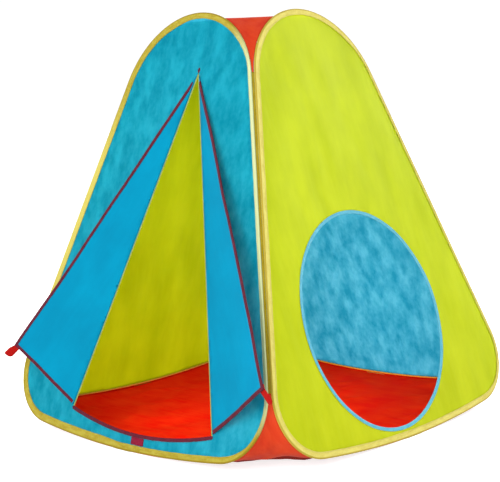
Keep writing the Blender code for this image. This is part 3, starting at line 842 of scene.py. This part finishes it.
def makeStrip(node, stations, place, closed, material, slotName, body, seed, widths=None):
    piece = stripPiece(f"{node}_sewn", stations, bindingSection(seed, widths), place, closed, material)
    length = lineLength(stations, closed)
    handIn(piece, body, slotName, node)
    sewBothSides(node, (stations, stations), place, bindingStitch, material, closed, body, slotName)


def holeStations():
    stations = []
    for x, y in holeLoop(binding["spacing"]):
        away = Vector(((x - crawlHole["x"]) / crawlHole["across"] ** 2,
                       (y - crawlHole["y"]) / crawlHole["up"] ** 2))
        stations.append((x, y, *away.normalized()))
    return stations


def sillStations():
    height, radius, reach = sillCircle()
    trim = asin(binding["endTrim"] / radius)
    sill = arc((0, height), radius, -pi / 2 - reach + trim, -pi / 2 + reach - trim, binding["spacing"])
    return [(x + door["offset"], y, cos(turn), sin(turn)) for x, y, turn in sill]


makeStrip("crawl_hole_binding", holeStations(), onWall(1), True, paleBlueStrip,
          "pale_blue_binding", "right_wall", 2.0)
makeStrip("door_sill_binding", sillStations(), onWall(0), False, maroonStrip,
          "red_binding", "front_wall", 3.0)
print("bindings made")

# Door flaps
flapCloth = {
    "grid": 0.009, "rim": 0.006, "thickness": 0.0008, "flat": (0.215, 0.74),
    # how far short of the flap's outer corner, its free corner and its tip the binding ends or turns, and
    # towards the tip its least width and the cloth that it leaves bare
    "bindingRoom": 0.0042, "corner": 0.010, "tip": 0.0045, "least": 0.0025, "bare": 0.002,
}


def flapStations(side):
    # down the free edge, round the corner and along the bottom, with the strip's width at each station
    _, _, outer, free, tip = flapCut(side)
    slope = (tip.y - outer.y) / (abs(outer.x) - abs(free.x))
    top, low = tip.y - flapCloth["tip"] * slope, free.y + flapCloth["corner"]
    stations = [(x, y, side, 0) for x, y, _ in run((free.x, top, 0), (free.x, low, 0), binding["spacing"])]
    rooms = [(tip.y - y) / slope - flapCloth["bare"] for _, y, *_ in stations]
    widths = [min(binding["width"], max(flapCloth["least"], room)) for room in rooms]
    footRun = (outer - free).normalized()
    footIn = Vector((-footRun.y, footRun.x)) * side
    stations.append((*free, *(Vector((side, 0)) + footIn) / (1 + side * footIn.x)))
    start, end = free + footRun * flapCloth["corner"], outer - footRun * flapCloth["bindingRoom"]
    stations += [(x, y, *footIn) for x, y, _ in run((*start, 0), (*end, 0), binding["spacing"])]
    return stations, widths + [binding["width"]] * (len(stations) - len(widths))


def makeFlap(side, word):
    place = onFlap(side)
    _, _, outer, free, tip = flapCut(side)
    outline = splitLoop([tuple(outer), tuple(free), tuple(tip)], flapCloth["rim"])
    name, body = f"{word}_door_flap", f"{word}_flap"
    piece = netPiece(name, [outline], flapCloth, place, flapBlue, 9 + side)
    area = clothArea(name, piece)
    handIn(piece, body, "blue_cloth", name)
    stations, widths = flapStations(side)
    makeStrip(f"{body}_binding", stations, place, False, maroonStrip, "red_binding", body, side, widths)
    return place, free


# Tabs of hook-and-loop tape, with a row of stitches round the sewn end.
tab = {
    "width": 0.0148, "length": 0.046, "corner": 0.006, "thickness": 0.0010, "inset": 0.0014,
    "lift": 0.0003, "flat": (0.0148, 0.046), "grid": 0.0022, "arc": 0.001, "twistReach": 0.012,
    "margin": 0.0018, "foot": 0.001, "boxStep": 0.003,
}
# how far up its flap each tab is sewn, how its free end curls and turns out of the flap's plane, and how far
# it leans away from the hinge
tabHang = {
    -1: {"lap": 0.016, "curl": 0.004, "lean": 0.12, "drop": 0.95, "twist": -0.7},
    1: {"lap": 0.010, "curl": 0.003, "lean": 0.60, "drop": 1.0, "twist": 0.0},
}
tabStitch = {"depth": 0.0, "height": 0.0006, "pitch": 0.0030, "length": 0.0024, "radius": 0.00028}


def tabLoop(left, right, low, high, corner):
    rightEnd = arc((right - corner, low + corner), corner, -pi / 2, 0, tab["arc"])
    leftEnd = arc((left + corner, low + corner), corner, pi, 3 * pi / 2, tab["arc"])
    return splitLoop([spot[:2] for spot in leftEnd + rightEnd] + [(right, high), (left, high)], tab["grid"])


def makeTab(name, loop, place, body, material):
    piece = netPiece(name, [loop], tab, place, material)
    handIn(piece, body, "red_tape", name)
    return piece


def sewBox(name, left, right, low, high, place, body, material):
    # stitches round a box
    box = splitLoop([(left, low), (right, low), (right, high), (left, high)], tab["boxStep"])
    row = stitchRow(f"{name}_stitches", [(x, y, 0, 0) for x, y in box], place, tabStitch, material, True)
    handIn(row, body, "red_tape")


def makeFlapTab(side, word, place, corner):
    inner = side * tab["inset"]
    outer = inner + side * tab["width"]
    hang = tabHang[side]
    high = corner.y + hang["lap"]
    level = binding["half"] + tab["lift"] + tab["thickness"] / 2
    low = high - tab["length"]

    def tabPlace(x, y, height):
        free = max(0, corner.y - y)
        curl = hang["curl"] * (free / (tab["length"] - hang["lap"])) ** 2
        twist = hang["twist"] * (x - outer) * softStep(free / tab["twistReach"])
        across, up = x - side * hang["lean"] * free, y + (1 - hang["drop"]) * free
        return place(across, up, height + level - curl + twist)

    name, body, margin = f"{word}_flap_tab", f"{word}_flap", tab["margin"]
    left, right = min(inner, outer), max(inner, outer)
    piece = makeTab(name, tabLoop(left, right, low, high, tab["corner"]), tabPlace, body, redTape)
    foot = corner.y + tab["foot"]
    sewBox(name, left + margin, right - margin, foot, high - margin, tabPlace, body, redTape)


for side, word in ((-1, "left"), (1, "right")):
    flapPlace, freeCorner = makeFlap(side, word)
    makeFlapTab(side, word, flapPlace, freeCorner)
print("door flaps made")

sillTab = {
    "width": 0.037, "height": 0.015, "corner": 0.001, "level": 0.0012, "gap": 0.0068, "shift": 0.008,
    "margin": 0.0016,
}


def makeSillTab():
    name, body, margin = "door_sill_tab", "front_wall", sillTab["margin"]
    high = door["footHeight"] - sillTab["gap"]
    low = high - sillTab["height"]
    middle = door["offset"] + sillTab["shift"]
    left, right = middle - sillTab["width"] / 2, middle + sillTab["width"] / 2
    wallPlace = onWall(0, sillTab["level"])
    piece = makeTab(name, tabLoop(left, right, low, high, sillTab["corner"]), wallPlace, body, maroonTape)
    sewBox(name, left + margin, right - margin, low + margin, high - margin, wallPlace, body, maroonTape)


makeSillTab()
print("tabs made")

# The turned edge of the front wall along each flap's hinge, and the blocks of thread at the hinges' ends.
hinge = {"half": 0.0021, "thick": 0.0004, "into": 0.0014, "level": -0.0002, "spacing": 0.008, "sides": 8}
bartackSteps = {"rings": 8, "sides": 12}
bartacks = {
    "door_top": {"x": 0.0, "y": door["top"] + 0.0022, "across": 0.0032, "up": 0.0066, "out": 0.0020},
    "left_hinge_foot": {"x": -0.2146, "y": 0.0608, "across": 0.0022, "up": 0.0026, "out": 0.0017},
    "right_hinge_foot": {"x": 0.2146, "y": 0.0608, "across": 0.0022, "up": 0.0030, "out": 0.0017},
}


def makeHingeSeam(side, word):
    start, end = hingeEnds(side)
    away = Vector(((end - start).y, (start - end).x)).normalized() * side
    line = run((*start, 0), (*end, 0), hinge["spacing"])[:-1]
    stations = [(x + door["offset"], y, -away.x, -away.y) for x, y, _ in line]
    turns = [2 * pi * step / hinge["sides"] for step in range(hinge["sides"])]
    outline = [(hinge["into"] + hinge["half"] * cos(turn), hinge["level"] + hinge["thick"] * sin(turn))
               for turn in turns]
    # in the olive green painted as the shade along the hinge
    piece = stripPiece(f"{word}_hinge_seam", stations, lambda *_: outline, onWall(0), False, hingeShadeStrip)
    handIn(piece, "front_wall", "yellow_sleeve")


def makeBartack(name, look):
    points, spots, rows, faces = [], [], [], []
    place = onWall(0)
    for ring in range(1, bartackSteps["rings"]):
        tilt = pi * ring / bartackSteps["rings"]
        row = []
        for step in range(bartackSteps["sides"]):
            turn = 2 * pi * step / bartackSteps["sides"]
            x = door["offset"] + look["x"] + look["across"] * sin(tilt) * cos(turn)
            y = look["y"] + look["up"] * sin(tilt) * sin(turn)
            row.append(addPoint(points, place(x, y, look["out"] * cos(tilt))))
            spots.append((x + tilt * look["out"], y))
        rows.append(row + row[:1])
    rowFaces(rows, faces)
    faces += [tuple(rows[0][:-1]), tuple(rows[-1][:-1])]
    handIn(sheetPiece(f"{name}_bartack", points, faces, spots, maroonStrip), "front_wall", "red_binding")


for side, word in ((-1, "left"), (1, "right")):
    makeHingeSeam(side, word)
for name, look in bartacks.items():
    makeBartack(name, look)
print("hinge seams made")


def crossCorner(wall, station, behind=0.0):
    # the ends of a level line from a wall's right side to the next wall, clear of both sleeves or behind them
    x, y, turn = station
    here = wallFrame(wall)
    near = here @ Vector((x, y, 0))
    far = wallFrame(wall + 1) @ Vector((-x, y, 0))
    chord = (far - near).normalized()
    tangent = here.to_3x3() @ Vector((-sin(turn), cos(turn), 0))
    out = here.to_3x3() @ Vector((0, 0, 1))
    beside = tent["seamOffset"] / sqrt(1 - chord.dot(tangent) ** 2)
    rear = tent["seamOffset"] / abs(chord.dot(out))
    clear = beside + (rear - beside) * behind
    return near + chord * clear, far - chord * clear


def cornerPush(wall):
    # level direction from the middle of the tent to the corner right of a wall
    return Matrix.Rotation(wall * pi / 2, 3, "Z") @ Vector((1, -1, 0)).normalized()


# How a cloth that is turned into a corner crinkles between the two walls, and waves in its first rows.
gusset = {
    "across": 14, "spacing": 0.006, "crinkle": 0.004, "crinkleShare": 0.05, "crinkleSize": 0.022,
    "waves": 3.1, "waveRows": 4,
}


def ruledRows(wall, stations, behinds, slackShare, seed, points, wave):
    # rows of cloth across a corner: each one slack by a share of its own width
    rows = []
    push = cornerPush(wall)
    for number, (station, behind) in enumerate(zip(stations, behinds)):
        near, far = crossCorner(wall, station, behind)
        width = (far - near).length
        most = min(gusset["crinkle"], width * gusset["crinkleShare"])
        row = []
        for step in range(gusset["across"] + 1):
            share = step / gusset["across"]
            belly = 4 * share * (1 - share)
            point = near.lerp(far, share) - push * belly * slackShare * width
            crinkle = noise.noise(point / gusset["crinkleSize"] + Vector((0, 0, seed)))
            point += push * belly * crinkle * most
            ripple = noiseAt(share * gusset["waves"], seed, 0.5)
            point.z += wave * belly * ripple * exp(-number / gusset["waveRows"])
            row.append(addPoint(points, point))
        rows.append(row)
    return rows


def fourCorners(stations, behinds, look, seed, points, faces, wave=0.0):
    # the rows across all four corners, with their faces
    corners = [ruledRows(wall, stations, behinds, look["slack"], seed + wall * 3.3, points, wave)
               for wall in range(4)]
    for rows in corners:
        rowFaces(rows, faces)
    return corners


def ringsInward(rim, look, power, height, points):
    # rings of points from a rim towards the middle, each at the height that a function gives
    rings = [rim]
    for ring in range(1, look["rings"]):
        share = (ring / look["rings"]) ** power
        row = []
        for index in rim:
            edge = points[index]
            x, y = edge.x * (1 - share), edge.y * (1 - share)
            row.append(addPoint(points, Vector((x, y, height(x, y, edge.z, share)))))
        rings.append(row)
    return rings


# a level cloth's weave goes on down its steep corners, because it also follows this share of the height
weaveFall = 0.3


def levelCloth(name, points, faces, rings, material, look):
    # closes a cloth between its rings and inside the last one
    rowFaces([ring + ring[:1] for ring in rings], faces)
    faces.append(tuple(rings[-1]))
    spots = [(point.x + point.z * weaveFall, point.y + point.z * weaveFall) for point in points]
    return sheetPiece(f"{name}_cloth_sewn", points, faces, spots, material, thickness=look["thickness"])


# Groundsheet: flat inside, with soft folds, raised to the walls' feet and turned up between them at the
# corners. Its hem goes under a wall's foot and up behind it, in rows (depth in from the wire, height).
groundsheet = {
    "spacing": 0.009, "rings": 34, "thickness": 0.0008, "flat": (0.92, 0.92),
    "firstTurn": 1 / 7, "slack": 0.10, "wave": 0.006, "dipLeast": 0.3, "dipRun": 0.20,
    "hem": ((0.0030, -0.0042), (0.0054, -0.0028)), "hemStart": 0.004, "hemRun": 0.05,
    "riseBand": 0.165, "riseGap": 0.0004, "ringCurve": 1.5,
    "foldHeight": 0.0030, "foldSize": 0.085, "foldLong": 0.55, "foldSharp": 3.2, "foldCurve": 1.5,
    "foldEdge": 0.08, "foldShare": 0.8, "crumple": 0.5, "crumpleFine": (2.7, 2.1),
}


def floorHeight(x, y, rise, share):
    look = groundsheet
    size, (fineX, fineY) = look["foldSize"], look["crumpleFine"]
    drop = 1 - softStep(share / look["riseBand"])
    ridge = 1 - abs(noiseAt(x / size, y / size * look["foldLong"], 2.2)) * look["foldSharp"]
    ridge += look["crumple"] * noiseAt(x / size * fineX, y / size * fineY, 5.2)
    fold = look["foldHeight"] * max(0, ridge) ** look["foldCurve"]
    fold *= softStep(share / look["foldEdge"])
    level = look["thickness"] / 2 + (rise - look["riseGap"]) * drop
    return level + fold * look["foldShare"]


def makeGroundsheet():
    look = groundsheet
    points, faces = [], []
    bend = cornerLine(gusset["spacing"])
    first = round(look["firstTurn"] * (len(bend) - 1))
    gussets = fourCorners(bend[first:], [0] * len(bend), look, 0, points, faces, look["wave"])
    gussetFaces = len(faces)
    steepest = asin((tent["beadRadius"] - look["thickness"] / 2) / tent["seamOffset"])
    rim, hems = [], []
    foot = footLine(look["spacing"])
    for wall in range(4):
        here = wallFrame(wall)
        turnWall = Matrix.Rotation(wall * pi / 2, 3, "Z")
        # the stretch of corner arc between the gusset and the foot, on the left
        rim += [addPoint(points, crossCorner(wall - 1, station)[1]) for station in reversed(bend[1:first])]
        line = []
        for step, (x, y, turn) in enumerate(foot):
            ease = min(step, len(foot) - 1 - step) * look["spacing"]
            least = look["dipLeast"]
            dip = steepest * (least + (1 - least) * softStep(ease / look["dipRun"]))
            hang = turnWall @ Vector((0, cos(dip), -sin(dip))) * tent["seamOffset"]
            rimPoint = here @ Vector((x, y, 0)) + hang
            share = softStep((ease + look["hemStart"]) / look["hemRun"])
            line.append((x, y, turn, share, rimPoint))
        hemRows = [[addPoint(points, rimPoint) for *_, rimPoint in line]]
        rim += hemRows[0]
        for depth, height in look["hem"]:
            row = []
            for x, y, turn, share, rimPoint in line:
                goal = here @ Vector((x - depth * cos(turn), y - depth * sin(turn), height))
                row.append(addPoint(points, rimPoint.lerp(goal, share)))
            hemRows.append(row)
        hems.append(hemRows)
        rim += [addPoint(points, crossCorner(wall, station)[0]) for station in bend[1:first]]
        rim += gussets[wall][0]
    for rows in hems:
        rowFaces(rows, faces)
    hemFaces = len(faces)
    rings = ringsInward(rim, groundsheet, look["ringCurve"], floorHeight, points)
    piece = levelCloth("floor", points, faces, rings, redCloth, groundsheet)
    # the sheet's upper side takes the material three places before the one that its underside has, so that
    # the underside, which shows from outside as the fold at the gussets' foot, has its own dark colour of
    # painted shade
    for material in (redOuter, hemEdge, redUnderShade, redOuter, hemEdge):
        piece.data.materials.append(material)
    piece.modifiers["thickness"].material_offset = -3
    for face in piece.data.polygons[:gussetFaces]:
        face.material_index = 4
    # the floor's underside takes the dark colour painted as shade
    for face in piece.data.polygons[hemFaces:]:
        face.material_index = 3
    # the hem's own sewn edge, its last row of faces on each wall
    alongFoot = len(foot) - 1
    for wall in range(4):
        last = gussetFaces + (2 * wall + 1) * alongFoot
        for face in piece.data.polygons[last:last + alongFoot]:
            face.material_index = 5
    clothArea("floor", piece)
    handIn(piece, "back_wall", "red_cloth", "floor_cloth")
    return piece


# Roof: cloth between the walls' round tops, and a level square that sags.
roof = {
    "turn": 4 / 12, "slack": 0.05, "sag": 0.015, "rings": 14, "edge": 26,
    "thickness": 0.0008, "flat": (0.50, 0.50),
    "fold": 0.0025, "foldSize": 0.06, "foldEdge": 0.2, "behindStart": 0.6, "behindRun": 0.4,
}


def roofHeight(x, y, rise, share):
    fold = noise.noise(Vector((x, y, 3.0)) / roof["foldSize"]) * roof["fold"]
    return rise - roof["sag"] * (1 - (1 - share) ** 2) + fold * softStep(share / roof["foldEdge"])


def makeRoof():
    points, faces = [], []
    top = topLine(gusset["spacing"])
    last = round(roof["turn"] * (len(top) - 1))
    stations = top[:last + 1]
    behinds = [softStep((number / last - roof["behindStart"]) / roof["behindRun"])
               for number in range(last + 1)]
    corners = fourCorners(stations, behinds, roof, 20, points, faces)
    rim = []
    for wall in range(4):
        start, end = points[corners[wall - 1][-1][-1]], points[corners[wall][-1][0]]
        rim += [addPoint(points, start.lerp(end, step / roof["edge"])) for step in range(1, roof["edge"])]
        rim += corners[wall][-1]
    rings = ringsInward(rim, roof, 1, roofHeight, points)
    piece = levelCloth("roof", points, faces, rings, redOuter, roof)
    area = clothArea("roof", piece)
    handIn(piece, "back_wall", "red_cloth", "roof_cloth")
    return piece


floorPiece = makeGroundsheet()
roofPiece = makeRoof()
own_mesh(floorPiece)
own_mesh(roofPiece)
print("groundsheet and roof made")

# Seam tapes: a narrow strip down each corner, between the two sleeves.
seamTape = {
    "spacing": 0.006, "across": 4, "slack": 0.0004, "slackStep": 0.6, "end": 0.0003, "thickness": 0.0006,
    "reach": 0.0005, "width": 0.003,
}


def makeSeamTape(wall, name, body):
    low, high = cornerLine(seamTape["spacing"])[-1], topLine(seamTape["spacing"])[0]
    line = run(low, high, seamTape["spacing"])
    _, line[0], *_, line[-1], _ = run(low, high, seamTape["end"])
    points, rows, faces, spots = [], [], [], []
    push = cornerPush(wall)
    for number, station in enumerate(line):
        near, far = crossCorner(wall, station)
        reach = (far - near).normalized() * seamTape["reach"]
        near, far = near - reach, far + reach
        pull = noiseAt(number * seamTape["slackStep"], wall * 4.0, 0.3)
        row = []
        for step in range(seamTape["across"] + 1):
            share = step / seamTape["across"]
            belly = push * 4 * share * (1 - share) * seamTape["slack"] * pull
            row.append(addPoint(points, near.lerp(far, share) + belly))
            spots.append((number * seamTape["spacing"], share * seamTape["width"]))
        rows.append(row)
    rowFaces(rows, faces)
    # in the dark olive painted as the shade line between the sleeves
    piece = sheetPiece(f"{name}_sewn", points, faces, spots, seamShadeTape, thickness=seamTape["thickness"])
    handIn(piece, body, "yellow_sleeve", name)


tapeBodies = {
    "front_right_seam_tape": "front_wall", "back_right_seam_tape": "back_wall",
    "back_left_seam_tape": "back_wall", "front_left_seam_tape": "left_wall",
}
for wall, (name, body) in enumerate(tapeBodies.items()):
    makeSeamTape(wall, name, body)
print("seam tapes made")

# Camera: the photograph's own viewpoint, worked out from the outlines of the two near walls.
view = {
    "azimuth": radians(43.638), "elevation": radians(5.880), "roll": radians(-2.383), "distance": 2.6765,
    "lookHeight": 0.3901, "focalPixels": 1174.15, "centre": (256.52, 239.81), "image": (500, 482),
    "sensorMm": 36,
}


def makeCamera():
    az, el, roll = view["azimuth"], view["elevation"], view["roll"]
    back = Vector((sin(az) * cos(el), -cos(az) * cos(el), sin(el)))
    level = Vector((cos(az), sin(az), 0))
    upright = back.cross(level)
    right = level * cos(roll) + upright * sin(roll)
    up = upright * cos(roll) - level * sin(roll)
    lens = bpy.data.cameras.new("camera")
    width, height = view["image"]
    lens.sensor_width = view["sensorMm"]
    lens.lens = view["focalPixels"] / width * view["sensorMm"]
    lens.shift_x = -(view["centre"][0] - width / 2) / width
    lens.shift_y = (view["centre"][1] - height / 2) / width
    camera = addObject("camera", lens)
    columns = Matrix((right, up, back)).transposed().to_4x4()
    middle = Vector((0, 0, view["lookHeight"]))
    camera.matrix_world = Matrix.Translation(middle + back * view["distance"]) @ columns
    bpy.context.scene.camera = camera


# Studio: a white floor and sky, a broad key light on the camera's left, a weaker one on its right,
# two behind that shine through the far walls, and a small one under the roof for the light its cloth lets in.
studio = {
    "sky": "#ffffff", "skyStrength": 1.04, "floor": "#b0b0b0", "floorGlow": 1.8, "floorSize": 400,
    "floorRough": 0.9, "aim": (0, 0, 0.4),
    "lights": {
        "key light": {"place": (0.2, -5.0, 2.2), "size": 3.0, "watts": 210},
        "fill light": {"place": (2.3, -2.7, 1.5), "size": 1.6, "watts": 66},
        "back light": {"place": (0.5, 4.5, 2.5), "size": 3.0, "watts": 450},
        "side light": {"place": (-4.4, 0.8, 2.6), "size": 3.0, "watts": 200},
        "inner light": {"place": (0, 0, 0.84), "size": 0.25, "watts": 1.2, "spread": radians(95)},
    },
}


def makeLight(name, look):
    lamp = bpy.data.lights.new(name, "AREA")
    lamp.energy = look["watts"]
    lamp.size = look["size"]
    lamp.spread = look.get("spread", pi)
    light = addObject(name, lamp)
    light.location = look["place"]
    light.visible_camera = False
    aim = Vector(studio["aim"]) - Vector(look["place"])
    light.rotation_euler = aim.to_track_quat("-Z", "Y").to_euler()


def makeStudio():
    world = bpy.data.worlds.new("studio")
    world.use_nodes = True
    sky = world.node_tree.nodes["Background"]
    sky.inputs["Color"].default_value = linear(studio["sky"])
    sky.inputs["Strength"].default_value = studio["skyStrength"]
    bpy.context.scene.world = world
    for name, look in studio["lights"].items():
        makeLight(name, look)
    bm = bmesh.new()
    bmesh.ops.create_grid(bm, x_segments=1, y_segments=1, size=studio["floorSize"] / 2)
    mesh = bpy.data.meshes.new("studio_floor")
    bm.to_mesh(mesh)
    bm.free()
    floor = addObject("studio_floor", mesh)
    paint, _ = plainMaterial("matt white paint", {
        "Base Color": linear(studio["floor"]), "Roughness": studio["floorRough"],
        "Emission Color": linear(studio["floor"]), "Emission Strength": studio["floorGlow"]})
    mesh.materials.append(paint)


makeCamera()
makeStudio()
bpy.context.scene.view_settings.view_transform = "Standard"
print("camera and studio made")
